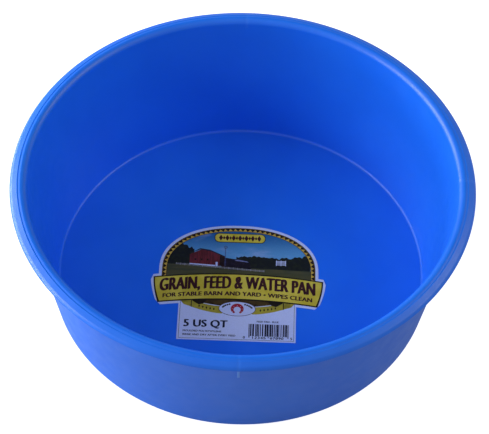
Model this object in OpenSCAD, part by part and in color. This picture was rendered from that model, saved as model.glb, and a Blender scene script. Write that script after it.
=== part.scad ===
// Low, wide feed pan: one moulded shell with a rolled rim, and a die-cut label on its floor.
// Millimetres, +Z up, origin on the table at the centre of the base.

/* [Pan] */
// Overall diameter across the rim
rim_d = 300; // [240:1:360]
// Overall height
pan_h = 99.5; // [70:0.5:140]
// Lean of the wall away from vertical, in degrees
wall_draft = 9; // [4:0.5:12]
// Thickness of the wall, measured level
wall_t = 3.4; // [2:0.1:4]
// Thickness of the floor
floor_t = 2.8; // [2:0.1:4]
// Outer rounding between base and wall
foot_r = 4; // [2:0.5:6]
// Inner rounding between floor and wall
floor_r = 2.2; // [1:0.1:5]

/* [Rim] */
// How far the rim stands out past the wall
rim_overhang = 8.2; // [6:0.1:11]
// Level top land, from the inner edge to the shoulder
rim_land = 6; // [4:0.1:8]
// Drop from the top land to the middle of the outermost edge
rim_drop = 3.9; // [3:0.1:5]
// Rounding of the inner top edge
crest_r = 2.5; // [1:0.1:2.7]
// Rounding of the shoulder outside the land
shoulder_r = 0.7; // [0.3:0.1:1.2]
// Rounding of the outer curve
brow_r = 3; // [1:0.1:4]
// Width of the solid outer lip beside the groove
lip_w = 3.4; // [2.5:0.1:4]

/* [Ribs] */
// Number of small ribs under the rim
rib_count = 4; // [0:1:8]
// Width of a rib
rib_w = 1.6; // [1:0.1:3]
// How far a rib stands out of the wall
rib_out = 0.5; // [0.3:0.1:1]
// Length of a rib below the top of the pan
rib_len = 29; // [12:1:50]

/* [Underside] */
// Width of the ring that the pan stands on
foot_ring_w = 11; // [6:1:25]
// Depth of the recess inside that ring
recess_h = 0.8; // [0.4:0.1:1.2]
// Diameter of the dimple around the moulding gate
gate_d = 14; // [8:1:24]

/* [Label] */
// Thickness of the label film
label_t = 0.15; // [0.1:0.05:0.3]
// Offset of the label from the centre, left to right
label_x = -1.4; // [-10:0.1:10]
// Turn of the label on the floor, in degrees
label_turn = -0.8; // [-15:0.1:15]
// Half width of the arch
arch_half_w = 54.2; // [45:0.1:60]
// Top of the arch, from the centre of the floor
arch_top = 35.5; // [30:0.1:45]
// Half width of the banner at its top corners
banner_half_w = 59.5; // [50:0.1:70]
// Half width of the banner at its bottom corners
banner_low_w = 53.8; // [45:0.1:65]
// Half width of the lower panel
panel_half_w = 39.5; // [30:0.1:45]
// Bottom of the lower panel, from the centre of the floor
panel_low = -62.1; // [-68:0.1:-55]

/* [Hidden] */
$fn = 180;

wall_slope = tan(wall_draft);
rim_r = rim_d / 2;
// Height of the outermost edge of the rim, and of the bottom of its lip
edge_z = pan_h - rim_drop;
lip_low = edge_z - 0.8;
// Roof of the groove under the rim
groove_z = pan_h - 2.9;
// Outer wall radius where it meets the plane of the base
base_r = rim_r - rim_overhang - wall_slope * lip_low;
crest_x = inner_x(pan_h);
// The outer curve falls from the shoulder over the brow to an upright edge
shoulder = [crest_x + rim_land, pan_h];
brow = [rim_r - 1.1, pan_h - 1.8];
edge_top = [rim_r, edge_z + 0.4];
edge_low = [rim_r, edge_z - 0.4];
lip_foot = [rim_r - 0.6, lip_low];
edge_r = 1;
gate_pin_r = 1.6;

// Arch: a slightly squared half oval on short straight sides
arch_mid = -3;
arch_power = 2.2;
arch_steps = 24;
// Banner: top and bottom edges sag towards the ends, which draw in towards the bottom
banner_top = -4.2;
banner_low = -30.4;
banner_sag = 5;
banner_end_power = 1.8;
banner_round = 1.8;
banner_steps = 6;

function outer_x(z) = base_r + wall_slope * z;
function inner_x(z) = outer_x(z) - wall_t;
function unit(v) = v / norm(v);

// What is cut away to round the corner at p to a radius r; a and b are points on its two sides
module corner_cut(p, a, b, r) {
    side_a = unit(a - p);
    side_b = unit(b - p);
    inward = unit(side_a + side_b);
    half = acos(side_a * side_b) / 2;
    reach = r / tan(half);
    centre = p + inward * r / sin(half);
    difference() {
        polygon([p - inward, p + side_a * reach, centre, p + side_b * reach]);
        translate(centre) circle(r = r);
    }
}

// Half section of the outside of the pan, without its rim
module outer_half() {
    foot = [base_r, 0];
    top = [outer_x(pan_h - 1), pan_h - 1];
    difference() {
        polygon([[0, 0], foot, top, [0, pan_h - 1]]);
        corner_cut(foot, [0, 0], top, foot_r);
    }
}

// Half section of the rim, with the shallow groove under it
module rim_half() {
    groove_out = rim_r - lip_w;
    mid_wall = outer_x(lip_low) - wall_t / 2;
    difference() {
        polygon([
            [mid_wall, lip_low], [crest_x - 1, pan_h], shoulder, brow, edge_top, edge_low, lip_foot
        ]);
        corner_cut(shoulder, [crest_x, pan_h], brow, shoulder_r);
        corner_cut(brow, shoulder, edge_top, brow_r);
        corner_cut(edge_top, brow, edge_low, edge_r);
        corner_cut(edge_low, edge_top, lip_foot, edge_r / 2);
        polygon([
            [mid_wall - 1, lip_low - 1],
            [mid_wall, groove_z],
            [groove_out - 0.4, groove_z],
            [groove_out, lip_low - 1]
        ]);
    }
}

// Half section of the space inside the pan
module inner_half() {
    heel = [inner_x(floor_t), floor_t];
    top = [inner_x(pan_h + 1), pan_h + 1];
    difference() {
        polygon([[0, floor_t], heel, top, [0, pan_h + 1]]);
        corner_cut(heel, [0, floor_t], top, floor_r);
    }
}

// Half section of the recess under the base, with the gate dimple and its pin mark
module recess_half() {
    recess_r = base_r - foot_r - foot_ring_w;
    polygon([
        [0, -1],
        [recess_r + 1, -1],
        [recess_r, recess_h],
        [gate_d / 2, recess_h],
        [gate_d / 2 - 0.6, recess_h + 0.5],
        [gate_pin_r, recess_h + 0.5],
        [gate_pin_r, 0.3],
        [0, 0.3]
    ]);
}

// The rib that ties the rim to the wall, and the short run of it that shows below the rim
module rim_rib() {
    low = pan_h - rib_len;
    rotate([90, 0, 0])
        linear_extrude(height = rib_w, center = true)
            polygon([
                [outer_x(low) - 1, low],
                [outer_x(low + 2) + rib_out, low + 2],
                [outer_x(lip_low) + rib_out, lip_low],
                [rim_r - lip_w + 1, lip_low + 0.6],
                [rim_r - lip_w + 1, groove_z + 0.4],
                [outer_x(groove_z) - 1, groove_z + 0.4]
            ]);
}

module pan() {
    color("royalblue") {
        rotate_extrude()
            difference() {
                union() {
                    outer_half();
                    rim_half();
                }
                inner_half();
                corner_cut(
                    [crest_x, pan_h], [inner_x(floor_t), floor_t], shoulder, crest_r
                );
                recess_half();
            }
        for (i = [0:rib_count - 1])
            rotate([0, 0, i * 360 / rib_count]) rim_rib();
    }
}

function sag_v(u) = banner_sag * pow(u / banner_half_w, 2);

// Right half of the arch, from its top down to where it meets the banner
function arch_right() = [
    for (i = [0:arch_steps])
        let (
            a = 90 - 90 * i / arch_steps,
            across = pow(cos(a), 2 / arch_power),
            up = pow(sin(a), 2 / arch_power)
        )
        [arch_half_w * across, arch_mid + (arch_top - arch_mid) * up]
];

// Right end of the banner: top edge outwards, the end down, bottom edge back to the panel
function banner_right() =
    let (
        top_v = banner_top - sag_v(banner_half_w),
        low_v = banner_low - sag_v(banner_low_w),
        top_run = banner_half_w - banner_round - arch_half_w,
        low_run = banner_low_w - banner_round - panel_half_w
    )
    concat(
        [for (i = [0:banner_steps])
            let (u = arch_half_w + top_run * i / banner_steps)
            [u, banner_top - sag_v(u)]],
        [for (i = [1:banner_steps - 1])
            let (t = i / banner_steps)
            [
                banner_half_w - (banner_half_w - banner_low_w) * pow(t, banner_end_power),
                top_v + (low_v - top_v) * t
            ]],
        [for (i = [banner_steps:-1:0])
            let (u = panel_half_w + low_run * i / banner_steps)
            [u, banner_low - sag_v(u)]]
    );

function label_right() =
    concat(arch_right(), banner_right(), [[panel_half_w, panel_low]]);

// The same points on the left, in the order that closes the outline
function mirrored(points) = [
    for (i = [len(points) - 1:-1:1]) [-points[i].x, points[i].y]
];

module label() {
    color("ivory")
        translate([label_x, 0, floor_t])
            rotate([0, 0, label_turn])
                linear_extrude(height = label_t)
                    polygon(concat(label_right(), mirrored(label_right())));
}

pan();
label();
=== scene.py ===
"""Round feed pan for a stable: a moulded polyethylene shell with a printed label on its floor.

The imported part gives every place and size. The shell is spun from its half section, so that its
roundings catch the light cleanly, and the label's film is the part's own solid with ink laid on it.
"""
import logging
import math
import random
from collections.abc import Callable
from dataclasses import dataclass, field, replace
from enum import Enum

import bmesh
import bpy
from mathutils import Matrix, Vector


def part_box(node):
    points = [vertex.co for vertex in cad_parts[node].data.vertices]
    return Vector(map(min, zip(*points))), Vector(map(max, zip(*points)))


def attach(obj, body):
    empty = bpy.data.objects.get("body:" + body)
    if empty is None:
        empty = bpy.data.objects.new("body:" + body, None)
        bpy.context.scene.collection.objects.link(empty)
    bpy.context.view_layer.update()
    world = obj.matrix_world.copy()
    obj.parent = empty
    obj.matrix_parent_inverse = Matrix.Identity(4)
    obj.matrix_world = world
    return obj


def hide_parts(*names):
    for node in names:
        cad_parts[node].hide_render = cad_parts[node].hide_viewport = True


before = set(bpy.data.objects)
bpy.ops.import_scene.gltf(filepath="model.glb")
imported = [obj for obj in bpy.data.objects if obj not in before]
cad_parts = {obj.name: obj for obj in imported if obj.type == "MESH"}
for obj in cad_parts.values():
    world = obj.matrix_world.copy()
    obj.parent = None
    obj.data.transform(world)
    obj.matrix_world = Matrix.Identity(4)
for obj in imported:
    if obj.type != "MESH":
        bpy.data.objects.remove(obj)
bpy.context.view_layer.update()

LOG = logging.getLogger("feed_pan")
MM = 0.001
ROOT = "root"
# Height of a capital in the built-in lettering, as a share of its size
CAP_SHARE = 0.682
# Colour of the fine dots that darken printed ink
DOT_COLOUR = "#101014"
# Values that a soft random pattern seldom leaves
NOISE_RANGE = (0.3, 0.7)

Curve = Callable[[float], float]


class Slot(Enum):
    """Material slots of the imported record."""

    PAN = "pan_plastic"
    LABEL = "label_film"


class Side(Enum):
    """Side of the label, as the sign of its across direction."""

    LEFT = -1
    RIGHT = 1


# ---------------------------------------------------------------- materials


def linear(hex_code: str) -> tuple[float, float, float, float]:
    """Turn an sRGB colour into a linear one.

    Args:
        hex_code: six hex digits, with or without a leading hash.

    Returns:
        Linear red, green, blue and an alpha of 1.
    """
    digits = hex_code.lstrip("#")
    levels = [int(digits[i:i + 2], 16) / 255 for i in (0, 2, 4)]
    red, green, blue = (
        c / 12.92 if c <= 0.04045 else ((c + 0.055) / 1.055) ** 2.4 for c in levels
    )
    return red, green, blue, 1.0


def per_mm(size: float) -> float:
    """Scale of a texture whose features are about this many millimetres across."""
    return 1 / (size * MM)


def add_node(
    tree: bpy.types.NodeTree, kind: str, links: dict | None = None, **settings: object
) -> bpy.types.Node:
    """Add one node with its settings, values and links.

    Args:
        tree: the node tree that gets the node.
        kind: the node's type name.
        links: socket name or identifier to a value, or to the output that feeds it.
        settings: the node's own properties.

    Returns:
        The new node.
    """
    node = tree.nodes.new(kind)
    for name, value in settings.items():
        setattr(node, name, value)
    for key, value in (links or {}).items():
        named = [s for s in node.inputs if s.identifier == key] or [node.inputs[key]]
        if isinstance(value, bpy.types.NodeSocket):
            tree.links.new(value, named[0])
        else:
            named[0].default_value = value
    return node


def blank_material(name: str) -> tuple[bpy.types.Material, bpy.types.NodeTree, bpy.types.Node]:
    """Make a material that has only its surface shader.

    Args:
        name: the material's name.

    Returns:
        The material, its node tree and its Principled shader.
    """
    material = bpy.data.materials.new(name)
    material.use_nodes = True
    tree = material.node_tree
    tree.nodes.clear()
    shader = add_node(tree, "ShaderNodeBsdfPrincipled")
    add_node(tree, "ShaderNodeOutputMaterial", {"Surface": shader.outputs["BSDF"]})
    return material, tree, shader


def noise(
    tree: bpy.types.NodeTree, size: float, stretch: tuple[float, float, float] = (1, 1, 1),
    detail: float = 3.0,
) -> bpy.types.NodeSocket:
    """Soft random pattern on the piece's own coordinates.

    Args:
        tree: the material's node tree.
        size: rough size of its patches in millimetres.
        stretch: how much longer the patches are along each axis.
        detail: how many finer layers are added.

    Returns:
        The pattern, around one half.
    """
    place = add_node(tree, "ShaderNodeTexCoord").outputs["Object"]
    squeezed = add_node(
        tree, "ShaderNodeMapping", {"Vector": place, "Scale": tuple(1 / s for s in stretch)}
    )
    return add_node(
        tree, "ShaderNodeTexNoise",
        {"Vector": squeezed.outputs["Vector"], "Scale": per_mm(size), "Detail": detail},
    ).outputs["Fac"]


def spread(
    tree: bpy.types.NodeTree, value: bpy.types.NodeSocket, source: tuple[float, float],
    target: tuple[float, float] = (0, 1),
) -> bpy.types.NodeSocket:
    """Stretch a range of values smoothly onto another, held at its ends.

    Args:
        tree: the material's node tree.
        value: what is stretched.
        source: the values that reach the two ends.
        target: the values at those ends.

    Returns:
        The stretched value.
    """
    return add_node(
        tree, "ShaderNodeMapRange",
        {"Value": value, "From Min": source[0], "From Max": source[1],
         "To Min": target[0], "To Max": target[1]},
        interpolation_type="SMOOTHSTEP",
    ).outputs["Result"]


def blend_colours(
    tree: bpy.types.NodeTree, factor: bpy.types.NodeSocket, first: object, second: object
) -> bpy.types.NodeSocket:
    """Mix two colours.

    Args:
        tree: the material's node tree.
        factor: how much of the second colour shows.
        first: a hex code or a colour socket.
        second: a hex code or a colour socket.

    Returns:
        The mixed colour.
    """
    ends = [linear(c) if isinstance(c, str) else c for c in (first, second)]
    return add_node(
        tree, "ShaderNodeMix",
        {"Factor_Float": factor, "A_Color": ends[0], "B_Color": ends[1]},
        data_type="RGBA",
    ).outputs[2]


@dataclass(frozen=True)
class MouldedPolyethylene:
    """High-density polyethylene, injection moulded and coloured right through.

    The pigment gives one deep, even blue. The moulded skin is a soft satin: highlights are broad and
    milky at their edges, waver slightly where the wall has pulled in, and break at the sink marks
    over the ribs.
    """

    name: str = "moulded_polyethylene_blue"
    deep: str = "#166DEC"
    pale: str = "#1A71EF"
    # Paler blue for the handling rubs, and for the painted highlight on the sink marks
    pale_wear_and_highlight: str = "#5C98F4"
    roughness: tuple[float, float] = (0.33, 0.41)
    ior: float = 1.54
    gloss: float = 0.42
    # Patches of slightly uneven pigment, a few centimetres across
    pigment_size: float = 38.0
    # Patches where the skin is a little shinier or duller, about a centimetre across
    satin_size: float = 9.0
    # Slow waves that the cooling skin leaves in the wall
    wave_size: float = 46.0
    wave_depth: float = 0.25
    # The mould's fine spark-eroded grain is about 0.3 mm, drawn at 0.8 mm so that it shows
    grain_size: float = 0.8
    grain_depth: float = 0.02
    # Handling rubs: hair-thin, and drawn out to about 20 mm
    rub_size: float = 1.4
    rub_stretch: tuple[float, float, float] = (1, 14, 14)
    rub_strength: float = 0.05
    # Sink marks: their half width, their depth, how much paler they are painted as a painted highlight,
    # # and how far below the top of the rim they fade out
    mark_width: float = 2.0
    mark_depth: float = 0.10
    mark_highlight_strength: float = 0.08
    mark_fade: tuple[float, float] = (8.0, 5.0)

    def rib_marks(self, tree: bpy.types.NodeTree, top: float) -> bpy.types.NodeSocket:
        """Narrow bands across the rim, where the plastic sinks over the four ribs under it.

        Args:
            tree: the material's node tree.
            top: height of the rim in metres.

        Returns:
            One on the middle of a mark and nought away from it.
        """
        place = add_node(tree, "ShaderNodeTexCoord").outputs["Object"]
        axes = add_node(tree, "ShaderNodeSeparateXYZ", {"Vector": place}).outputs
        off_x = add_node(tree, "ShaderNodeMath", {"Value": axes["X"]}, operation="ABSOLUTE")
        off_y = add_node(tree, "ShaderNodeMath", {"Value": axes["Y"]}, operation="ABSOLUTE")
        nearest = add_node(
            tree, "ShaderNodeMath",
            {"Value": off_x.outputs[0], "Value_001": off_y.outputs[0]}, operation="MINIMUM",
        ).outputs[0]
        across = spread(tree, nearest, (0, self.mark_width * MM), (1, 0))
        fade_low, fade_high = (top - below * MM for below in self.mark_fade)
        on_rim = spread(tree, axes["Z"], (fade_low, fade_high))
        return add_node(
            tree, "ShaderNodeMath", {"Value": across, "Value_001": on_rim}, operation="MULTIPLY"
        ).outputs[0]

    def material(self, top: float) -> bpy.types.Material:
        """Build the material.

        Args:
            top: height of the rim in metres.

        Returns:
            The finished material.
        """
        material, tree, shader = blank_material(self.name)
        marks = self.rib_marks(tree, top)
        pigment = spread(tree, noise(tree, self.pigment_size), (0.35, 0.65))
        colour = blend_colours(tree, pigment, self.deep, self.pale)
        scratches = noise(tree, self.rub_size, self.rub_stretch, 4)
        rubs = spread(tree, scratches, (0.66, 0.82), (0, self.rub_strength))
        colour = blend_colours(tree, rubs, colour, self.pale_wear_and_highlight)
        # Painted highlight: the sink marks are tinted paler where the light catches them; their dip is
        # real
        mark_painted_highlight = spread(tree, marks, (0, 1), (0, self.mark_highlight_strength))
        colour = blend_colours(tree, mark_painted_highlight, colour, self.pale_wear_and_highlight)
        satin = spread(tree, noise(tree, self.satin_size), NOISE_RANGE, self.roughness)
        wave = add_node(
            tree, "ShaderNodeBump",
            {"Height": noise(tree, self.wave_size, detail=1), "Strength": 1.0,
             "Distance": self.wave_depth * MM},
        )
        sink = add_node(
            tree, "ShaderNodeBump",
            {"Height": marks, "Strength": 1.0, "Distance": self.mark_depth * MM,
             "Normal": wave.outputs["Normal"]},
            invert=True,
        )
        grain = add_node(
            tree, "ShaderNodeBump",
            {"Height": noise(tree, self.grain_size), "Strength": 0.5, "Distance": self.grain_depth * MM,
             "Normal": sink.outputs["Normal"]},
        )
        tree.links.new(colour, shader.inputs["Base Color"])
        tree.links.new(satin, shader.inputs["Roughness"])
        tree.links.new(grain.outputs["Normal"], shader.inputs["Normal"])
        shader.inputs["IOR"].default_value = self.ior
        shader.inputs["Specular IOR Level"].default_value = self.gloss
        return material


@dataclass(frozen=True)
class PrintedFilm:
    """White polypropylene label film with a satin overlaminate, or one ink printed on it.

    The film gives a flat, slightly cool white with a soft sheen. Ink lies in fine dots, so its tone
    is grainy close up, and it may run from one tone to another down the label.
    """

    name: str
    hex_code: str
    second: str = ""
    # Print dots are about 0.15 mm, drawn at 0.45 mm so that they show
    dot_size: float = 0.45
    dot_strength: float = 0.10
    # Size, stretch and sharpness of the second tone's patches
    patch_size: float = 0.0
    stretch: tuple[float, float, float] = (1, 1, 1)
    contrast: tuple[float, float] = (0.38, 0.62)
    # The colour runs from its own, at the first of two heights on the label, to the lower one
    run: tuple[float, float] = (0, 0)
    lower: str = ""
    # Wisps of cloud are about 11 mm high and two to three times as long
    cloud: str = ""
    cloud_size: float = 11.0
    cloud_stretch: tuple[float, float, float] = (2.6, 1, 1)
    # The film cockles slightly, in waves of 16 mm that are 0.05 mm high
    cockle_size: float = 16.0
    cockle_depth: float = 0.05
    sheen_size: float = 5.0
    roughness: float = 0.42
    gloss: float = 0.25

    def material(self) -> bpy.types.Material:
        """Build the material: patches of a second tone, a run down the label, clouds and dots."""
        material, tree, shader = blank_material(self.name)
        colour: object = self.hex_code
        if self.lower:
            place = add_node(tree, "ShaderNodeTexCoord").outputs["Object"]
            up = add_node(tree, "ShaderNodeSeparateXYZ", {"Vector": place}).outputs["Y"]
            fade = spread(tree, up, (self.run[0] * MM, self.run[1] * MM))
            colour = blend_colours(tree, fade, self.hex_code, self.lower)
        if self.cloud:
            wisps = spread(
                tree, noise(tree, self.cloud_size, self.cloud_stretch, 5), (0.52, 0.76), (0, 0.55)
            )
            colour = blend_colours(tree, wisps, colour, self.cloud)
        if self.second:
            patches = spread(
                tree, noise(tree, self.patch_size, self.stretch, 4), self.contrast
            )
            colour = blend_colours(tree, patches, colour, self.second)
        dots = spread(
            tree, noise(tree, self.dot_size, detail=1), NOISE_RANGE, (0, self.dot_strength)
        )
        colour = blend_colours(tree, dots, colour, DOT_COLOUR)
        cockle = add_node(
            tree, "ShaderNodeBump",
            {"Height": noise(tree, self.cockle_size, detail=1), "Strength": 1.0,
             "Distance": self.cockle_depth * MM},
        )
        sheen = spread(
            tree, noise(tree, self.sheen_size), NOISE_RANGE,
            (self.roughness - 0.04, self.roughness + 0.05),
        )
        tree.links.new(colour, shader.inputs["Base Color"])
        tree.links.new(sheen, shader.inputs["Roughness"])
        tree.links.new(cockle.outputs["Normal"], shader.inputs["Normal"])
        shader.inputs["Specular IOR Level"].default_value = self.gloss
        return material


# ---------------------------------------------------------------- pieces


def finish_piece(
    name: str, mesh_data: bmesh.types.BMesh, materials: list[bpy.types.Material], slot: Slot
) -> bpy.types.Object:
    """Turn a finished bmesh into an object of the part.

    Args:
        name: the piece's name.
        mesh_data: its shape in metres, in the part's frame. It is freed.
        materials: its materials, in the order of the faces' material numbers.
        slot: the record's slot that its finish belongs to. It is not used.

    Returns:
        The new object, riding on the part's only body.
    """
    mesh = bpy.data.meshes.new(name)
    mesh_data.to_mesh(mesh)
    mesh_data.free()
    for material in materials:
        mesh.materials.append(material)
    piece = bpy.data.objects.new(name, mesh)
    bpy.context.scene.collection.objects.link(piece)
    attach(piece, ROOT)
    LOG.info("%s: %d faces", name, len(mesh.polygons))
    return piece


@dataclass(frozen=True)
class Corner:
    """One corner of a half section in millimetres, with the rounding that the mould gives it."""

    x: float
    z: float
    radius: float = 0.3
    segments: int = 3


@dataclass
class PanShell:
    """The moulded shell, spun from its half section, with the ribs under its rim.

    Sizes are in millimetres and repeat the part's own, apart from the finer shape on top of the
    rim. The rim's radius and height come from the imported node.
    """

    rim_radius: float
    height: float
    wall_draft: float = 9.0
    wall: float = 3.4
    floor: float = 2.8
    foot_r: float = 4.0
    floor_r: float = 2.2
    overhang: float = 8.2
    land: float = 6.0
    drop: float = 3.9
    # The crest runs into a slightly crowned land, with a hair-thin step before the shoulder
    crest_r: float = 4.2
    crown_at: float = 4.0
    crown_fall: float = 0.42
    step_width: float = 0.75
    step_rise: float = 0.12
    shoulder_r: float = 0.35
    brow_r: float = 3.0
    lip: float = 3.4
    rib_count: int = 4
    rib_width: float = 1.6
    rib_out: float = 0.5
    rib_length: float = 29.0
    rib_edge_r: float = 0.22
    foot_ring: float = 11.0
    recess: float = 0.8
    gate_r: float = 7.0
    pin_r: float = 1.6
    spin_steps: int = 540
    slope: float = field(init=False)
    lip_low: float = field(init=False)
    groove: float = field(init=False)
    base_r: float = field(init=False)

    def __post_init__(self) -> None:
        """Work out the sizes that follow from the others."""
        self.slope = math.tan(math.radians(self.wall_draft))
        self.lip_low = self.height - self.drop - 0.8
        self.groove = self.height - 2.9
        self.base_r = self.rim_radius - self.overhang - self.slope * self.lip_low

    def outer(self, z: float) -> float:
        """Radius of the wall's outer face at a height."""
        return self.base_r + self.slope * z

    def corners(self) -> list[Corner]:
        """Half section from the axis over the floor, wall, rim and base, back to the axis."""
        top, rim = self.height, self.rim_radius
        crest_x = self.outer(top) - self.wall
        edge_z = top - self.drop
        lip_x = rim - self.lip
        ring_x = self.base_r - self.foot_r - self.foot_ring
        roof = self.recess + 0.5
        return [
            Corner(0, self.floor, 0),
            Corner(self.outer(self.floor) - self.wall, self.floor, self.floor_r, 8),
            Corner(crest_x, top, self.crest_r, 12),
            Corner(crest_x + self.crown_at, top, 2.2, 5),
            Corner(crest_x + self.land - self.step_width, top - self.crown_fall, 0.5, 3),
            Corner(crest_x + self.land, top - self.crown_fall + self.step_rise, self.shoulder_r, 3),
            Corner(rim - 1.1, top - 1.8, self.brow_r, 7),
            Corner(rim, edge_z + 0.4, 1.0, 4),
            Corner(rim, edge_z - 0.4, 0.5, 3),
            Corner(rim - 0.6, self.lip_low),
            Corner(lip_x, self.lip_low),
            Corner(lip_x - 0.4, self.groove, 0.4),
            Corner(self.outer(self.groove), self.groove, 0.6, 4),
            Corner(self.base_r, 0, self.foot_r, 9),
            Corner(ring_x + 0.5, 0, 0.2, 2),
            Corner(ring_x, self.recess, 0.2, 2),
            Corner(self.gate_r, self.recess, 0.2, 2),
            Corner(self.gate_r - 0.6, roof, 0.2, 2),
            Corner(self.pin_r, roof, 0.2, 2),
            Corner(self.pin_r, self.recess - 0.5, 0.2, 2),
            Corner(0, self.recess - 0.5, 0),
        ]

    def section(self) -> bmesh.types.BMesh:
        """Half section as a wire with rounded corners, open along the axis."""
        shape = bmesh.new()
        corners = self.corners()
        verts = [shape.verts.new((c.x * MM, 0, c.z * MM)) for c in corners]
        face = shape.faces.new(verts)
        places = [v.co.copy() for v in verts]
        for i, corner in enumerate(corners):
            if not corner.radius:
                continue
            back = (places[i - 1] - places[i]).normalized()
            ahead = (places[i + 1] - places[i]).normalized()
            half_angle = back.angle(ahead) / 2
            bmesh.ops.bevel(
                shape, geom=[verts[i]], offset=corner.radius * MM / math.tan(half_angle),
                offset_type="OFFSET", segments=corner.segments, profile=0.5,
                affect="VERTICES", material=-1,
            )
        bmesh.ops.delete(shape, geom=shape.faces[:], context="FACES_ONLY")
        on_axis = [e for e in shape.edges if all(v.co.x < 1e-7 for v in e.verts)]
        bmesh.ops.delete(shape, geom=on_axis, context="EDGES_FACES")
        return shape

    def add_rib(self, shell: bmesh.types.BMesh, azimuth: float) -> None:
        """Add one rib: a thin bevelled web from the wall out to the lip.

        Args:
            shell: the shell's bmesh, which gets the rib.
            azimuth: where the rib stands, in radians from +X.
        """
        low = self.height - self.rib_length
        out = self.rim_radius - self.lip + 1
        web = [
            (self.outer(low) - 1, low),
            (self.outer(low + 2) + self.rib_out, low + 2),
            (self.outer(self.lip_low) + self.rib_out, self.lip_low),
            (out, self.lip_low + 0.6),
            (out, self.groove + 0.4),
            (self.outer(self.groove) - 1, self.groove + 0.4),
        ]
        rib = bmesh.new()
        side = -self.rib_width / 2 * MM
        face = rib.faces.new([rib.verts.new((x * MM, side, z * MM)) for x, z in web])
        grown = bmesh.ops.extrude_face_region(rib, geom=[face], use_keep_orig=True)
        far = [v for v in grown["geom"] if isinstance(v, bmesh.types.BMVert)]
        bmesh.ops.translate(rib, verts=far, vec=(0, self.rib_width * MM, 0))
        bmesh.ops.recalc_face_normals(rib, faces=rib.faces[:])
        bmesh.ops.bevel(
            rib, geom=rib.edges[:], offset=self.rib_edge_r * MM, offset_type="OFFSET", segments=2,
            profile=0.5, affect="EDGES", material=-1,
        )
        for face in rib.faces:
            # The ribs take the paler material, a painted highlight
            face.material_index = 1
        bmesh.ops.rotate(rib, verts=rib.verts[:], matrix=Matrix.Rotation(azimuth, 3, "Z"))
        append(shell, rib)

    def build(self, plastic: bpy.types.Material, rib_painted_highlight: bpy.types.Material) -> bpy.types.Object:
        """Spin the shell, add its ribs and hide the part's plain pan in its place.

        Args:
            plastic: the shell's material.
            rib_painted_highlight: the ribs' material, a paler blue that paints their highlight.

        Returns:
            The shell's object.
        """
        shell = self.section()
        bmesh.ops.spin(
            shell, geom=shell.verts[:] + shell.edges[:], cent=(0, 0, 0), axis=(0, 0, 1),
            angle=math.tau, steps=self.spin_steps, use_merge=True,
        )
        bmesh.ops.remove_doubles(shell, verts=shell.verts[:], dist=0.002 * MM)
        bmesh.ops.recalc_face_normals(shell, faces=shell.faces[:])
        for i in range(self.rib_count):
            self.add_rib(shell, math.tau * i / self.rib_count)
        for face in shell.faces:
            face.smooth = True
        piece = finish_piece("pan_shell", shell, [plastic, rib_painted_highlight], Slot.PAN)
        # Long flat runs keep their own direction beside the small roundings
        shading = piece.modifiers.new("even_shading", "WEIGHTED_NORMAL")
        shading.keep_sharp = False
        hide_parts("pan")
        return piece


def append(whole: bmesh.types.BMesh, part: bmesh.types.BMesh) -> None:
    """Add one bmesh to another.

    Args:
        whole: the bmesh that grows.
        part: what is added to it. It is freed.
    """
    carrier = bpy.data.meshes.new("carrier")
    part.to_mesh(carrier)
    part.free()
    whole.from_mesh(carrier)
    bpy.data.meshes.remove(carrier)


# ---------------------------------------------------------------- flat ink areas, in label millimetres


def between(low: Curve, high: Curve, start: float, end: float, columns: int = 24) -> bmesh.types.BMesh:
    """Flat area between two curves.

    Args:
        low: lower edge as a function of the place across.
        high: upper edge as a function of the place across.
        start: left end.
        end: right end.
        columns: how many columns it is drawn with. They are narrower towards both ends.

    Returns:
        The area.
    """
    area = bmesh.new()
    bmesh.ops.create_grid(area, x_segments=columns, y_segments=1, size=1)
    for vert in area.verts:
        across = (start + end) / 2 + (end - start) / 2 * math.sin(vert.co.x * math.pi / 2)
        edge = high if vert.co.y > 0 else low
        vert.co = Vector((across, edge(across), 0))
    return area


def steady(height: float) -> Curve:
    """Curve that stays at one height."""
    return lambda _: height


def outline(points: list[tuple[float, float]]) -> bmesh.types.BMesh:
    """Flat area with a few straight sides.

    Args:
        points: its corners in order.

    Returns:
        The area.
    """
    area = bmesh.new()
    area.faces.new([area.verts.new((u, v, 0)) for u, v in points])
    return area


def plate(left: float, low: float, right: float, high: float) -> bmesh.types.BMesh:
    """Flat upright rectangle between two opposite corners."""
    return outline([(left, low), (right, low), (right, high), (left, high)])


def diamond(u: float, v: float, half_width: float, half_height: float) -> bmesh.types.BMesh:
    """Flat diamond round a centre."""
    return outline([
        (u - half_width, v), (u, v - half_height), (u + half_width, v), (u, v + half_height),
    ])


def oval(u: float, v: float, half_width: float, half_height: float, steps: int = 64) -> bmesh.types.BMesh:
    """Flat oval.

    Args:
        u: its centre across.
        v: its centre up.
        half_width: half its width.
        half_height: half its height.
        steps: corners round it.

    Returns:
        The area.
    """
    area = bmesh.new()
    bmesh.ops.create_circle(area, cap_ends=True, segments=steps, radius=1)
    for vert in area.verts:
        vert.co = Vector((u + vert.co.x * half_width, v + vert.co.y * half_height, 0))
    return area


def rounded(u: float, v: float, half_width: float, half_height: float, radius: float) -> bmesh.types.BMesh:
    """Flat rectangle with round corners.

    Args:
        u: its centre across.
        v: its centre up.
        half_width: half its width.
        half_height: half its height.
        radius: radius of its corners.

    Returns:
        The area.
    """
    area = plate(u - half_width, v - half_height, u + half_width, v + half_height)
    bmesh.ops.bevel(
        area, geom=area.verts[:], offset=radius, offset_type="OFFSET", segments=8, profile=0.5,
        affect="VERTICES", material=-1,
    )
    return area


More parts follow.
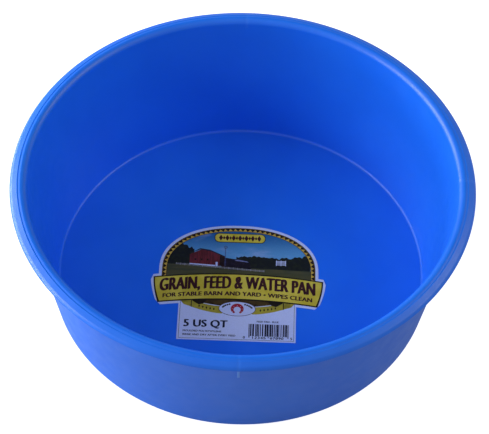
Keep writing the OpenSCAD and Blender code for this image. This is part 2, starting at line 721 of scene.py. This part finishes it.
def ring_sector(
    u: float, v: float, radii: tuple[Curve, Curve], angles: tuple[float, float], columns: int = 28
) -> bmesh.types.BMesh:
    """Flat piece of a ring, whose inner and outer radius may change along it.

    Args:
        u: centre across.
        v: centre up.
        radii: inner and outer radius as functions of the angle in degrees.
        angles: first and last angle in degrees.
        columns: how many columns it is drawn with.

    Returns:
        The area.
    """
    area = bmesh.new()
    bmesh.ops.create_grid(area, x_segments=columns, y_segments=1, size=1)
    for vert in area.verts:
        angle = angles[0] + (angles[1] - angles[0]) * (vert.co.x + 1) / 2
        radius = radii[1 if vert.co.y > 0 else 0](angle)
        turn = math.radians(angle)
        vert.co = Vector((u + radius * math.cos(turn), v + radius * math.sin(turn), 0))
    bmesh.ops.recalc_face_normals(area, faces=area.faces[:])
    return area


def words(text: str, left: float, right: float, base: float, cap: float) -> bmesh.types.BMesh:
    """Plain lettering, squeezed or stretched to a width.

    Args:
        text: the words.
        left: where they begin.
        right: where they end.
        base: height of their base line.
        cap: height of a capital letter.

    Returns:
        The letters' flat areas.
    """
    curve = bpy.data.curves.new("lettering", "FONT")
    curve.body = text
    curve.resolution_u = 4
    # Letters stand slightly apart, so that no two touch at a single point
    curve.space_character = 1.03
    holder = bpy.data.objects.new("lettering", curve)
    bpy.context.scene.collection.objects.link(holder)
    depsgraph = bpy.context.evaluated_depsgraph_get()
    mesh = bpy.data.meshes.new_from_object(holder.evaluated_get(depsgraph))
    area = bmesh.new()
    area.from_mesh(mesh)
    bpy.data.objects.remove(holder)
    bpy.data.curves.remove(curve)
    bpy.data.meshes.remove(mesh)
    bmesh.ops.remove_doubles(area, verts=area.verts[:], dist=1e-5)
    first = min(v.co.x for v in area.verts)
    width = max(v.co.x for v in area.verts) - first
    size = cap / CAP_SHARE
    for vert in area.verts:
        across = left + (vert.co.x - first) / width * (right - left)
        vert.co = Vector((across, base + vert.co.y * size, 0))
    return area


def warp(area: bmesh.types.BMesh, drop: Curve) -> bmesh.types.BMesh:
    """Lower a flat area by an amount that changes across the label.

    Args:
        area: the area.
        drop: how far each place across is lowered.

    Returns:
        The same area.
    """
    for vert in area.verts:
        vert.co.y -= drop(vert.co.x)
    return area


@dataclass(frozen=True)
class LabelPlace:
    """Where the label lies: label millimetres to the part's frame."""

    film_top: float
    shift: float = -1.4
    turn: float = -0.8
    # Each ink is drawn this thick, in millimetres, so that it lies clear of the one below
    ink_step: float = 0.012

    def matrix(self) -> Matrix:
        """Move and turn from the label's own axes to the part's frame."""
        move = Matrix.Translation((self.shift * MM, 0, self.film_top))
        return move @ Matrix.Rotation(math.radians(self.turn), 4, "Z") @ Matrix.Scale(MM, 4)


class InkStack:
    """One printed piece of the label: flat ink areas laid over each other."""

    def __init__(self, name: str, place: LabelPlace, inks: dict[str, bpy.types.Material]) -> None:
        """Start a piece.

        Args:
            name: the piece's name.
            place: where the label lies.
            inks: the label's inks by name.
        """
        self.name = name
        self.place = place
        self.inks = inks
        self.used: list[str] = []
        self.whole = bmesh.new()

    def lay(self, ink: str, level: int, area: bmesh.types.BMesh) -> None:
        """Lay one flat area as a thin closed plate.

        Args:
            ink: name of its ink.
            level: its place in the order of printing, from one upwards.
            area: the flat area in label millimetres. It is freed.
        """
        if ink not in self.used:
            self.used.append(ink)
        grown = bmesh.ops.extrude_face_region(area, geom=area.faces[:], use_keep_orig=True)
        tops = [v for v in grown["geom"] if isinstance(v, bmesh.types.BMVert)]
        step = self.place.ink_step
        # The underside sinks a little deeper at each level, so that no two lie in one plane
        bmesh.ops.translate(area, verts=area.verts[:], vec=(0, 0, -step * (1 + level / 20)))
        bmesh.ops.translate(area, verts=tops, vec=(0, 0, step * (1 + level)))
        bmesh.ops.recalc_face_normals(area, faces=area.faces[:])
        bmesh.ops.transform(area, matrix=self.place.matrix(), verts=area.verts[:])
        for face in area.faces:
            face.material_index = self.used.index(ink)
        append(self.whole, area)

    def letter(
        self, ink: str, level: int, text: str, span: tuple[float, float], base: float, cap: float,
        thicken: float, drop: Curve = steady(0.0),
    ) -> None:
        """Lay bold lettering: three passes side by side, so that its strokes thicken.

        Args:
            ink: name of its ink.
            level: place of its first pass in the order of printing.
            text: the words.
            span: where they begin and end.
            base: height of their base line.
            cap: height of a capital letter.
            thicken: how far the outer passes are shifted.
            drop: how far each place across is lowered.
        """
        for i in range(3):
            shift = (i - 1) * thicken
            area = words(text, span[0] + shift, span[1] + shift, base + shift / 3, cap)
            self.lay(ink, level + i, warp(area, drop))

    def finish(self) -> bpy.types.Object:
        """Make the piece's object."""
        materials = [self.inks[ink] for ink in self.used]
        return finish_piece(self.name, self.whole, materials, Slot.LABEL)


@dataclass(frozen=True)
class Banner:
    """The banner's yellow field: it sags towards its ends, which draw in towards the bottom."""

    top: float = -7.2
    low: float = -27.4
    half_top: float = 56.5
    half_low: float = 52.7
    sag: float = 5.0
    sag_half: float = 59.5
    end_power: float = 1.8
    border: float = 1.0

    def drop(self, u: float) -> float:
        """How far the banner has sagged at a place across."""
        return self.sag * (u / self.sag_half) ** 2

    def field(self, grow: float) -> bmesh.types.BMesh:
        """The banner's area, grown by a margin.

        Args:
            grow: the margin in millimetres.

        Returns:
            The area.
        """
        area = bmesh.new()
        bmesh.ops.create_grid(area, x_segments=40, y_segments=8, size=1)
        for vert in area.verts:
            down = (1 - vert.co.y) / 2
            half = self.half_top - (self.half_top - self.half_low) * down ** self.end_power
            u = vert.co.x * (half + grow)
            v = (self.top + grow) * (1 - down) + (self.low - grow) * down
            vert.co = Vector((u, v - self.drop(u), 0))
        return area

    def build(self, stack: InkStack) -> None:
        """Lay the banner, its headline and its second line.

        Args:
            stack: the piece that they are laid on.
        """
        stack.lay("outline", 9, self.field(self.border))
        stack.lay("yellow", 10, self.field(0))
        headline = "GRAIN, FEED & WATER PAN"
        stack.letter("maroon", 11, headline, (-52.6, 51.8), -18.9, 10.2, 0.55, self.drop)
        second = "FOR STABLE BARN AND YARD • WIPES CLEAN"
        stack.letter("maroon", 11, second, (-50.4, 50.0), -24.8, 3.3, 0.25, self.drop)


@dataclass(frozen=True)
class Arch:
    """The arched picture over the banner, with its toothed border."""

    banner: Banner
    half_width: float = 54.2
    top: float = 35.5
    middle: float = -3.0
    power: float = 2.2
    tooth_pitch: float = 3.6

    def edge(self, inset: float) -> Curve:
        """Upper edge of the arch, drawn in by a margin.

        Args:
            inset: the margin in millimetres.

        Returns:
            Height of the edge as a function of the place across.
        """
        half, rise = self.half_width - inset, self.top - self.middle - inset

        def height(u: float) -> float:
            """Height of the edge at a place across."""
            share = min(1.0, abs(u) / half)
            return self.middle + rise * (1 - share ** self.power) ** (1 / self.power)

        return height

    def foot(self, u: float) -> float:
        """Lower edge of everything in the arch, just under the banner's border."""
        return self.banner.top + 0.8 - self.banner.drop(u)

    def layer(self, inset: float) -> bmesh.types.BMesh:
        """The whole arch, drawn in by a margin.

        Args:
            inset: the margin in millimetres.

        Returns:
            The area.
        """
        half = self.half_width - inset
        return between(self.foot, self.edge(inset), -half, half, 72)

    def walk(self, inset: float, count: int) -> list[Vector]:
        """Evenly spaced points up one side, over the arch and down the other.

        Args:
            inset: margin from the film's edge.
            count: number of steps.

        Returns:
            One point more than there are steps.
        """
        half, pieces = self.half_width - inset, 600
        curve = self.edge(inset)
        across = [half * math.sin((i / pieces - 0.5) * math.pi) for i in range(pieces + 1)]
        route = [Vector((u, curve(u))) for u in across]
        route.insert(0, Vector((-half, self.foot(half))))
        route.append(Vector((half, self.foot(half))))
        lengths = [0.0]
        for a, b in zip(route, route[1:]):
            lengths.append(lengths[-1] + (b - a).length)
        points, j = [], 0
        for i in range(count + 1):
            goal = lengths[-1] * i / count
            while j < len(route) - 2 and lengths[j + 1] < goal:
                j += 1
            share = (goal - lengths[j]) / (lengths[j + 1] - lengths[j])
            points.append(route[j].lerp(route[j + 1], min(1.0, share)))
        return points

    def teeth(self, outer: float, inner: float) -> bmesh.types.BMesh:
        """Row of pointed teeth that hang inwards from a line round the arch.

        Args:
            outer: inset of their roots.
            inner: inset of their points.

        Returns:
            The area.
        """
        # Half an oval's edge, and the two straight sides under it
        length = math.pi * (self.half_width + self.top - self.middle) / 2 + 12
        count = 2 * round(length / self.tooth_pitch)
        roots, tips = self.walk(outer, count), self.walk(inner, count)
        area = bmesh.new()
        bmesh.ops.create_grid(area, x_segments=count, y_segments=1, size=1)
        for vert in area.verts:
            i = round((vert.co.x + 1) / 2 * count)
            root, tip = roots[i], tips[i]
            # Every other place is a notch between two teeth
            reach = 1.0 if i % 2 else 0.12
            place = root if vert.co.y > 0 else root.lerp(tip, reach)
            vert.co = Vector((place.x, place.y, 0))
        return area

    def border(self, stack: InkStack) -> None:
        """Lay the keyline, the yellow band and its dark teeth.

        Args:
            stack: the piece that they are laid on.
        """
        stack.lay("maroon", 1, self.layer(2.0))
        stack.lay("yellow_dim", 2, self.layer(2.4))
        stack.lay("outline", 3, self.teeth(2.5, 4.9))
        stack.lay("outline", 3, self.layer(4.95))


@dataclass(frozen=True)
class FarmPicture:
    """A plain farm scene: sky, trees, a long red barn, a wind pump, a board fence and pasture."""

    arch: Arch
    inset: float = 5.3
    seed: int = 7

    def clipped(self, curve: Curve) -> Curve:
        """Keep a sky line inside the arch.

        Args:
            curve: the sky line.

        Returns:
            The lower of that line and the arch's edge.
        """
        edge = self.arch.edge(self.inset)
        return lambda u: min(curve(u), edge(u))

    def tree_line(self, height: Curve, lump: float, seed: int) -> Curve:
        """Rounded crowns along a line.

        Args:
            height: the line that the crowns follow.
            lump: how far a crown bulges.
            seed: picks the run of crowns.

        Returns:
            The trees' sky line.
        """
        draw = random.Random(seed)
        waves = [
            (draw.uniform(0.4, 1.0), draw.uniform(0.8, 3.6), draw.uniform(0, 9)) for _ in range(6)
        ]
        total = sum(size for size, _, _ in waves)

        def line(u: float) -> float:
            """Height of the crowns at a place across."""
            bulge = sum(size * abs(math.sin(u / span + phase)) for size, span, phase in waves)
            return height(u) + lump * bulge / total

        return line

    def barn(self, stack: InkStack) -> None:
        """Lay the barn: boards, roof, foundation strip, door, windows and the low shed behind it.

        Args:
            stack: the piece that it is laid on.
        """
        shapes = (
            ("shed", 6, [(-12, -2.0), (8.5, -2.4), (7, 4), (-2, 6), (-12, 7.6)]),
            ("roof", 7, [(-3.2, 4.9), (6.6, 3.6), (5.2, 4.6), (-1.0, 5.9)]),
            ("roof_dark", 6, [
                (-35, 9.4), (-27, 14.7), (-20, 13.6), (-9.2, 8.1), (-10.6, 7.5), (-27, 13.6),
            ]),
            ("barn", 7, [
                (-33.9, 0.9), (-9.9, -0.3), (-9.9, 7.6), (-19.4, 12.2), (-26.4, 13.6), (-33.9, 9.2),
            ]),
            ("shade", 8, [(-13.4, 0.0), (-9.9, -0.2), (-9.9, 7.4), (-13.4, 9.1)]),
            ("white", 8, [(-33.9, 0.4), (-16.2, -0.4), (-16.2, 0.6), (-33.9, 1.6)]),
        )
        for ink, depth, points in shapes:
            stack.lay(ink, depth, outline(points))
        stack.lay("white", 9, plate(-16.0, -0.5, -14.6, 3.2))
        for u in (-30.6, -26.4, -22.2):
            stack.lay("shade", 8, plate(u, 4.2, u + 1.3, 5.8))

    def wind_pump(self, stack: InkStack) -> None:
        """Lay the thin lattice mast with its wheel of blades.

        Args:
            stack: the piece that it is laid on.
        """
        u, hub = -9.6, 16.2
        for side in Side:
            foot, top = side.value * 0.5, side.value * 0.12
            inner, over = side.value * 0.22, side.value * -0.05
            leg = [(foot, 0), (top, hub), (over, hub), (inner, 0)]
            stack.lay("mast", 9, outline([(u + across, v) for across, v in leg]))
        for i in range(10):
            turn = math.tau * i / 10
            tip = Vector((math.cos(turn), math.sin(turn)))
            beside = Vector((-math.sin(turn), math.cos(turn)))
            blade = [tip * 0.35, tip * 1.35 - beside * 0.26, tip * 1.35 + beside * 0.26]
            stack.lay("mast", 9, outline([(u + p.x, hub + p.y) for p in blade]))

    def fence(self, stack: InkStack) -> None:
        """Lay the white board fence and its gate.

        Args:
            stack: the piece that it is laid on.
        """
        start, end, posts = Vector((-43.0, 1.3)), Vector((17.0, -3.0)), 20
        fall = (end.y - start.y) / (end.x - start.x)
        for rail in (0.0, 0.75):
            run = [(p.x, p.y + rail - 0.9) for p in (start, end)]
            stack.lay("fence", 8, outline(run + [(u, v + 0.28) for u, v in reversed(run)]))
        for i in range(posts + 1):
            u = start.x + (end.x - start.x) * i / posts
            v = start.y + fall * (u - start.x)
            stack.lay("fence", 9, plate(u, v - 1.2, u + 0.3, v + 0.5))
        for i in range(4):
            v = 2.2 + i * 1.0
            stack.lay("white", 8, plate(25.2, v, 32.0, v + 0.5))
        for u in (25.2, 28.4, 31.5):
            stack.lay("white", 9, plate(u, 1.6, u + 0.5, 6.2))

    def far_crowns(self, u: float) -> float:
        """Line that the far trees follow, which climbs at the right end."""
        return 5.4 + 1.4 * math.sin((u + 4) / 9) + max(0, u - 22) * 0.17

    def near_crowns(self, u: float) -> float:
        """Line that the near trees follow, which falls towards the barn."""
        return 14.5 - (u + 38) * 0.55

    def horizon(self, u: float) -> float:
        """Far edge of the pasture."""
        return 0.6 - (u + self.arch.half_width - self.inset) * 0.03

    def build(self, stack: InkStack) -> None:
        """Lay the whole picture, from the sky forwards.

        Args:
            stack: the piece that it is laid on.
        """
        half = self.arch.half_width - self.inset
        stack.lay("sky", 4, self.arch.layer(self.inset))
        far = self.clipped(self.tree_line(self.far_crowns, 3.4, self.seed))
        stack.lay("trees", 5, between(steady(-4.0), far, -2, half - 0.2, 160))
        near = self.clipped(self.tree_line(self.near_crowns, 5.0, self.seed + 1))
        stack.lay("trees", 5, between(steady(-2.0), near, 0.2 - half, -31, 100))
        stack.lay("pasture", 6, between(self.arch.foot, self.horizon, -half, half, 48))
        self.barn(stack)
        self.wind_pump(stack)
        self.fence(stack)


@dataclass(frozen=True)
class Plaque:
    """The small rounded plaque over the picture, with a row of diamonds, large and small."""

    height: float = 24.5
    half_width: float = 17.1
    half_height: float = 3.5
    radius: float = 3.0
    edge: float = 0.5
    pitch: float = 2.2
    large: float = 2.6
    small: float = 1.6

    def build(self, stack: InkStack) -> None:
        """Lay the plaque: a dark edge, a yellow field and the diamonds.

        Args:
            stack: the piece that it is laid on.
        """
        v, wide, tall, edge = self.height, self.half_width, self.half_height, self.edge
        stack.lay("outline", 9, rounded(0, v, wide + edge, tall + edge, self.radius + 0.4))
        stack.lay("yellow", 10, rounded(0, v, wide, tall, self.radius))
        for i in range(-6, 7):
            size = self.small if i % 2 else self.large
            stack.lay("maroon", 11, diamond(i * self.pitch, v, size * 0.55, size))


@dataclass(frozen=True)
class Ribbon:
    """The folded ribbon under the banner, with a horseshoe badge in its middle."""

    banner: Banner
    badge_v: float = -35.8
    badge_half: float = 12.4
    badge_rise: float = 6.1
    badge_edge: float = 0.35
    shoe_inner: float = 2.4
    nail_ring: float = 3.4
    leaf_ring: tuple[float, float] = (10.4, 4.9)

    def strip(self, stack: InkStack, side: Side) -> None:
        """Lay one side of the ribbon: its front, its tail, the dark fold and a row of diamonds.

        Args:
            stack: the piece that it is laid on.
            side: left or right.
        """
        s = side.value

        def bow(end: float, middle: float) -> Curve:
            """Edge that falls from the fold towards the badge.

            Args:
                end: its height at the fold.
                middle: its height at the badge.

            Returns:
                Height of the edge as a function of the place across.
            """
            return lambda u: middle + (end - middle) * ((abs(u) - 10) / 21) ** 1.7

        low, high = bow(-35.2, -40.0), bow(-30.0, -34.0)
        stack.lay("ribbon", 3, between(low, high, *sorted((s * 10.0, s * 31.0))))
        tail = [(29.6, -28.6), (38.8, -29.6), (36.2, -33.2), (31.2, -35.0), (30.6, -30.4)]
        stack.lay("ribbon_dim", 2, outline([(s * u, v) for u, v in tail]))
        fold = [(20.0, -28.4), (30.4, -28.6), (30.4, -30.2), (26.0, -33.2), (23.0, -32.4)]
        stack.lay("outline", 5, outline([(s * u, v) for u, v in fold]))
        stack.lay("outline", 4, plate(s * 30.6, -29.9, s * 31.2, -35.3))
        for i in range(5):
            u = s * (15.6 + i * 2.5)
            stack.lay("shade", 4, diamond(u, (low(u) + high(u)) / 2, 0.6, 1.2))

    def shoe_outer(self, angle: float) -> float:
        """Outer radius of the horseshoe, fuller at its toe."""
        return 4.3 + 0.7 * math.sin(math.radians(angle))

    def badge(self, stack: InkStack) -> None:
        """Lay the oval badge with a horseshoe and a row of small leaves over it.

        Args:
            stack: the piece that it is laid on.
        """
        v, wide, tall, edge = self.badge_v, self.badge_half, self.badge_rise, self.badge_edge
        stack.lay("maroon", 5, oval(0, v, wide, tall))
        stack.lay("white", 6, oval(0, v, wide - edge, tall - edge))
        shoe_v = v - 0.7
        radii = (steady(self.shoe_inner), self.shoe_outer)
        stack.lay("red", 7, ring_sector(0, shoe_v, radii, (-58, 238)))
        for i in range(7):
            turn = math.radians(-30 + i * 40)
            across, up = self.nail_ring * math.cos(turn), self.nail_ring * math.sin(turn)
            stack.lay("white", 8, oval(across, shoe_v + up, 0.22, 0.22, 10))
        ring_u, ring_v = self.leaf_ring
        for side in Side:
            for i in range(5):
                turn = math.radians(90 + side.value * (30 + 9.5 * i))
                centre = Vector((ring_u * math.cos(turn), v - 0.6 + ring_v * math.sin(turn)))
                along = Vector((-math.sin(turn) * ring_u, math.cos(turn) * ring_v)).normalized()
                out = Vector((-along.y, along.x))
                leaf = [
                    centre - along * 0.9, centre - out * 0.8, centre + along * 0.9, centre + out * 0.8,
                ]
                stack.lay("shade", 7, outline([(p.x, p.y) for p in leaf]))

    def lens_high(self, u: float) -> float:
        """Upper edge of the ribbon's dark back, along the banner."""
        return self.banner.low - self.banner.drop(u)

    def lens_low(self, u: float) -> float:
        """Lower edge of the ribbon's dark back."""
        return -34.4 + 3.6 * (abs(u) / 27) ** 1.7

    def build(self, stack: InkStack) -> None:
        """Lay the ribbon and its badge.

        Args:
            stack: the piece that they are laid on.
        """
        stack.lay("ribbon_back", 1, between(self.lens_low, self.lens_high, -27, 27))
        for side in Side:
            self.strip(stack, side)
        self.badge(stack)


@dataclass(frozen=True)
class Panel:
    """The plain white panel at the bottom: capacity, two small lines and a bar code."""

    half_width: float = 39.5
    low: float = -62.1
    inset: float = 1.1
    line: float = 0.25
    bars_left: float = 8.1
    bars_right: float = 34.8
    bars_top: float = -47.8
    bars_low: float = -57.7
    guard_length: float = 1.3
    keyline_top: float = -29.5
    seed: int = 12

    def bars(self, stack: InkStack) -> None:
        """Lay a made-up bar code: 95 modules, with longer guard bars at its ends and middle.

        Args:
            stack: the piece that it is laid on.
        """
        modules = 95
        pitch = (self.bars_right - self.bars_left) / modules
        draw = random.Random(self.seed)
        guards = {0, 2, 46, 48, 92, 94}
        module = 0
        while module < modules:
            wide = 1 if module in guards else draw.choice((1, 2, 2, 3, 4))
            nearest = min((g for g in guards if g > module), default=modules)
            wide = min(wide, nearest - module)
            if module in guards or module not in (1, 45, 47, 49, 91, 93):
                low = self.bars_low - (self.guard_length if module in guards else 0)
                left = self.bars_left + module * pitch
                # Ink spreads a little past the drawn bar
                right = left + (wide + 0.12) * pitch
                stack.lay("navy", 2, plate(left, low, right, self.bars_top))
            module += wide + (1 if module in guards else draw.choice((1, 2, 3)))
            if module > nearest and module - wide <= nearest:
                module = nearest

    def keyline(self, stack: InkStack) -> None:
        """Lay the thin line just inside the panel's edge.

        Args:
            stack: the piece that it is laid on.
        """
        far = self.half_width - self.inset
        near, low = far - self.line, self.low + self.inset
        for side in Side:
            s = side.value
            stack.lay("navy", 1, plate(s * near, low + self.line / 2, s * far, self.keyline_top))
        stack.lay("navy", 1, plate(-far, low, far, low + self.line))

    def build(self, stack: InkStack) -> None:
        """Lay the keyline, the words and the bar code.

        Args:
            stack: the piece that they are laid on.
        """
        self.keyline(stack)
        stack.letter("navy", 2, "5 US QT", (-35.1, -6.3), -51.4, 5.6, 0.34)
        stack.letter("navy_thin", 2, "MOULDED POLYETHYLENE", (-35.5, -10.0), -55.6, 1.4, 0.08)
        stack.letter("navy_thin", 2, "RINSE AND DRY AFTER EVERY FEED", (-35.5, -0.5), -58.6, 1.4, 0.08)
        stack.letter("navy_thin", 2, "FEED PAN - BLUE", (13.5, 28.0), -46.4, 1.3, 0.08)
        self.bars(stack)
        digits = {"0": (4.6, 5.8), "12345": (10.8, 19.6), "67890": (22.6, 31.4), "5": (36.0, 37.2)}
        for text, span in digits.items():
            stack.letter("navy", 2, text, span, -59.9, 1.9, 0.1)


@dataclass
class Label:
    """The whole label: the part's own film with its ink pieces."""

    film: bpy.types.Object
    place: LabelPlace
    banner: Banner = field(default_factory=Banner)

    def inks(self) -> dict[str, bpy.types.Material]:
        """All inks by name."""
        finishes = {
            "white": PrintedFilm("opaque_white_ink", "#C2D0F2"),
            "yellow": PrintedFilm(
                "process_yellow_ink", "#CABB3A", "#D6C84C", patch_size=11.0, run=(-6, -34), lower="#C4B438"
            ),
            "yellow_dim": PrintedFilm("process_yellow_ink_dim", "#CDB04A", "#BC9A3C", patch_size=3.0),
            "maroon": PrintedFilm("dark_maroon_ink", "#35121A", "#401A20", patch_size=4.0),
            "outline": PrintedFilm("rich_black_ink", "#16120E", "#20190F", patch_size=4.0),
            "red": PrintedFilm("warm_red_ink", "#A81C30", "#96182A", patch_size=2.0),
            "navy": PrintedFilm("navy_text_ink", "#10162E", "#161E3A", patch_size=2.0),
            "navy_thin": PrintedFilm("navy_text_ink_thin", "#161E3C", "#1E2648", patch_size=2.0),
            "ribbon": PrintedFilm("olive_ribbon_ink", "#9C9430", "#ACA238", patch_size=7.0),
            "ribbon_dim": PrintedFilm("olive_ribbon_ink_dim", "#A69C36", "#847C24", patch_size=5.0),
            "ribbon_back": PrintedFilm("brown_ribbon_ink", "#2E2210", "#4A3A16", patch_size=5.0),
            "shade": PrintedFilm("shade_ink", "#1C1210", "#281A14", patch_size=2.0),
            "sky": PrintedFilm(
                "sky_process_print", "#5A9CCB", run=(8, 30), lower="#1F609C", cloud="#9CB4E0"
            ),
            "trees": PrintedFilm(
                "foliage_process_print", "#171C1C", "#222A1C", patch_size=2.0, contrast=(0.42, 0.7)
            ),
            "pasture": PrintedFilm(
                "pasture_process_print", "#3E4430", "#4E4E32", patch_size=2.4, stretch=(6, 1, 1),
                run=(-2, -9), lower="#484A2A",
            ),
            "barn": PrintedFilm(
                "barn_board_print", "#6E2A32", "#542226", patch_size=0.9, stretch=(1, 9, 1)
            ),
            "shed": PrintedFilm("shed_board_print", "#1A1620", "#2A2230", patch_size=2.0),
            "roof": PrintedFilm("pale_roof_print", "#7C86B4", "#6870A0", patch_size=1.5),
            "roof_dark": PrintedFilm("barn_roof_print", "#1C1E2C", "#2A2C40", patch_size=1.5),
            "mast": PrintedFilm("mast_print", "#55608C", "#3C466C", patch_size=1.5),
            "fence": PrintedFilm("fence_board_print", "#A2A4AA", "#8C8E96", patch_size=2.0),
        }
        return {name: finish.material() for name, finish in finishes.items()}

    def build(self) -> list[bpy.types.Object]:
        """Dress the film and lay every ink piece.

        Returns:
            The ink pieces.
        """
        face = PrintedFilm("white_label_film", "#C8D6F6", roughness=0.36)
        dressed = face.material()
        for slot in self.film.material_slots:
            slot.material = dressed
        LOG.info("%s: the part's own film, dressed as %s", self.film.name, face.name)
        inks = self.inks()
        arch = Arch(self.banner)
        jobs: dict[str, Callable[[InkStack], None]] = {
            "label_border": arch.border,
            "label_picture": FarmPicture(arch).build,
            "label_plaque": Plaque().build,
            "label_banner": self.banner.build,
            "label_ribbon": Ribbon(self.banner).build,
            "label_panel_print": Panel().build,
        }
        made = []
        for name, job in jobs.items():
            stack = InkStack(name, self.place, inks)
            job(stack)
            made.append(stack.finish())
        return made


# ---------------------------------------------------------------- studio


@dataclass(frozen=True)
class SoftBox:
    """One soft light: where it hangs and what it points at in metres, and its power in watts."""

    name: str
    place: tuple[float, float, float]
    aim: tuple[float, float, float]
    size: tuple[float, float]
    power: float

    def build(self) -> bpy.types.Object:
        """Hang the light."""
        light = bpy.data.lights.new(self.name, "AREA")
        light.shape = "RECTANGLE"
        light.size, light.size_y = self.size
        light.energy = self.power
        box = bpy.data.objects.new(self.name, light)
        bpy.context.scene.collection.objects.link(box)
        box.location = self.place
        way = Vector(self.aim) - Vector(self.place)
        box.rotation_euler = way.to_track_quat("-Z", "Y").to_euler()
        box.visible_camera = False
        return box


@dataclass(frozen=True)
class Studio:
    """A white table, soft lights that are strongest on the left, and a dim room."""

    table_size: float = 6.0
    table_colour: str = "#BEBEBE"
    table_mottle: str = "#BABABA"
    mottle_size: float = 120.0
    # The lit sheet looks white, but throws little light up at the pan
    table_white: float = 0.95
    table_glow: float = 0.05
    # A dark flag hangs high behind the pan and keeps the room's glare off its floor
    flag_way: tuple[float, float, float] = (0.05, 0.62, 0.78)
    flag_edge: tuple[float, float] = (0.68, 0.95)
    room_flagged: float = 0.04
    # The room is open and bright at the back and on the left
    open_way: tuple[float, float, float] = (-0.6, 0.8, 0)
    open_edge: tuple[float, float] = (-0.8, 0.5)
    room_dim: float = 0.36
    room_open: float = 0.58
    boxes: tuple[SoftBox, ...] = (
        SoftBox("key_left", (-1.15, 0.15, 0.68), (0, 0, 0.06), (1.45, 0.4), 15.0),
        SoftBox("strip_left", (-1.0, 0.25, 0.14), (0, 0.05, 0.07), (1.2, 0.20), 8.5),
        SoftBox("fill_right", (1.0, 0.1, 0.9), (0, 0, 0.05), (0.9, 0.6), 4.5),
    )

    def table(self) -> bpy.types.Object:
        """Make the table: a lit white acrylic sheet, even and nearly without shadow."""
        material, tree, shader = blank_material("lit_white_acrylic")
        texture = spread(tree, noise(tree, self.mottle_size, detail=1), NOISE_RANGE)
        colour = blend_colours(tree, texture, self.table_colour, self.table_mottle)
        tree.links.new(colour, shader.inputs["Base Color"])
        shader.inputs["Emission Color"].default_value = (1, 1, 1, 1)
        seen = add_node(tree, "ShaderNodeLightPath").outputs["Is Camera Ray"]
        glow = spread(tree, seen, (0, 1), (self.table_glow, self.table_white))
        tree.links.new(glow, shader.inputs["Emission Strength"])
        shader.inputs["Roughness"].default_value = 0.8
        shader.inputs["Specular IOR Level"].default_value = 0.1
        mesh = bpy.data.meshes.new("table")
        shape = bmesh.new()
        bmesh.ops.create_grid(shape, x_segments=8, y_segments=8, size=self.table_size / 2)
        shape.to_mesh(mesh)
        shape.free()
        mesh.materials.append(material)
        table = bpy.data.objects.new("table", mesh)
        bpy.context.scene.collection.objects.link(table)
        return table

    def room(self) -> None:
        """Light the room evenly, apart from the flag high behind the pan."""
        world = bpy.data.worlds.new("room")
        world.use_nodes = True
        tree = world.node_tree
        tree.nodes.clear()
        way = add_node(tree, "ShaderNodeTexCoord").outputs["Generated"]
        facing, depth = (
            add_node(
                tree, "ShaderNodeVectorMath", {"Vector": way, "Vector_001": towards},
                operation="DOT_PRODUCT",
            ).outputs["Value"]
            for towards in (self.flag_way, self.open_way)
        )
        unflagged = spread(tree, depth, self.open_edge, (self.room_dim, self.room_open))
        glow = spread(tree, facing, self.flag_edge, (unflagged, self.room_flagged))
        sky = add_node(tree, "ShaderNodeBackground", {"Color": (1, 1, 1, 1), "Strength": glow})
        add_node(tree, "ShaderNodeOutputWorld", {"Surface": sky.outputs["Background"]})
        bpy.context.scene.world = world

    def build(self) -> None:
        """Set up the table, the room and the lights."""
        self.table()
        self.room()
        for box in self.boxes:
            box.build()
        bpy.context.scene.view_settings.view_transform = "Standard"


@dataclass(frozen=True)
class Camera:
    """The camera: distance and height in metres, angles in degrees."""

    back: float = 0.80058
    height: float = 1.045575
    down: float = 51.005
    aside: float = 0.109
    roll: float = 1.461
    lens: float = 141.88

    def build(self) -> bpy.types.Object:
        """Make the camera and use it for the scene."""
        data = bpy.data.cameras.new("camera")
        data.sensor_width = 36
        data.lens = self.lens
        camera = bpy.data.objects.new("camera", data)
        bpy.context.scene.collection.objects.link(camera)
        camera.matrix_world = (
            Matrix.Translation((0, -self.back, self.height))
            @ Matrix.Rotation(math.radians(-self.aside), 4, "Z")
            @ Matrix.Rotation(math.radians(90 - self.down), 4, "X")
            @ Matrix.Rotation(math.radians(self.roll), 4, "Z")
        )
        bpy.context.scene.camera = camera
        return camera


def main() -> None:
    """Build the camera, the studio, the shell and the label, sized from the imported part."""
    logging.basicConfig(level=logging.INFO)
    Camera().build()
    Studio().build()
    low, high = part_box("pan")
    shell = PanShell(rim_radius=(high.y - low.y) / 2 / MM, height=high.z / MM)
    skin = MouldedPolyethylene()
    # The ribs get a paler blue, a painted highlight along their faces
    rib_painted_highlight = replace(skin, name="moulded_polyethylene_blue_rubbed", deep="#4A8CF4", pale="#5A98F6")
    shell.build(skin.material(high.z), rib_painted_highlight.material(high.z))
    film_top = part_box("label")[1].z
    Label(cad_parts["label"], LabelPlace(film_top)).build()


if __name__ == "__main__":
    main()
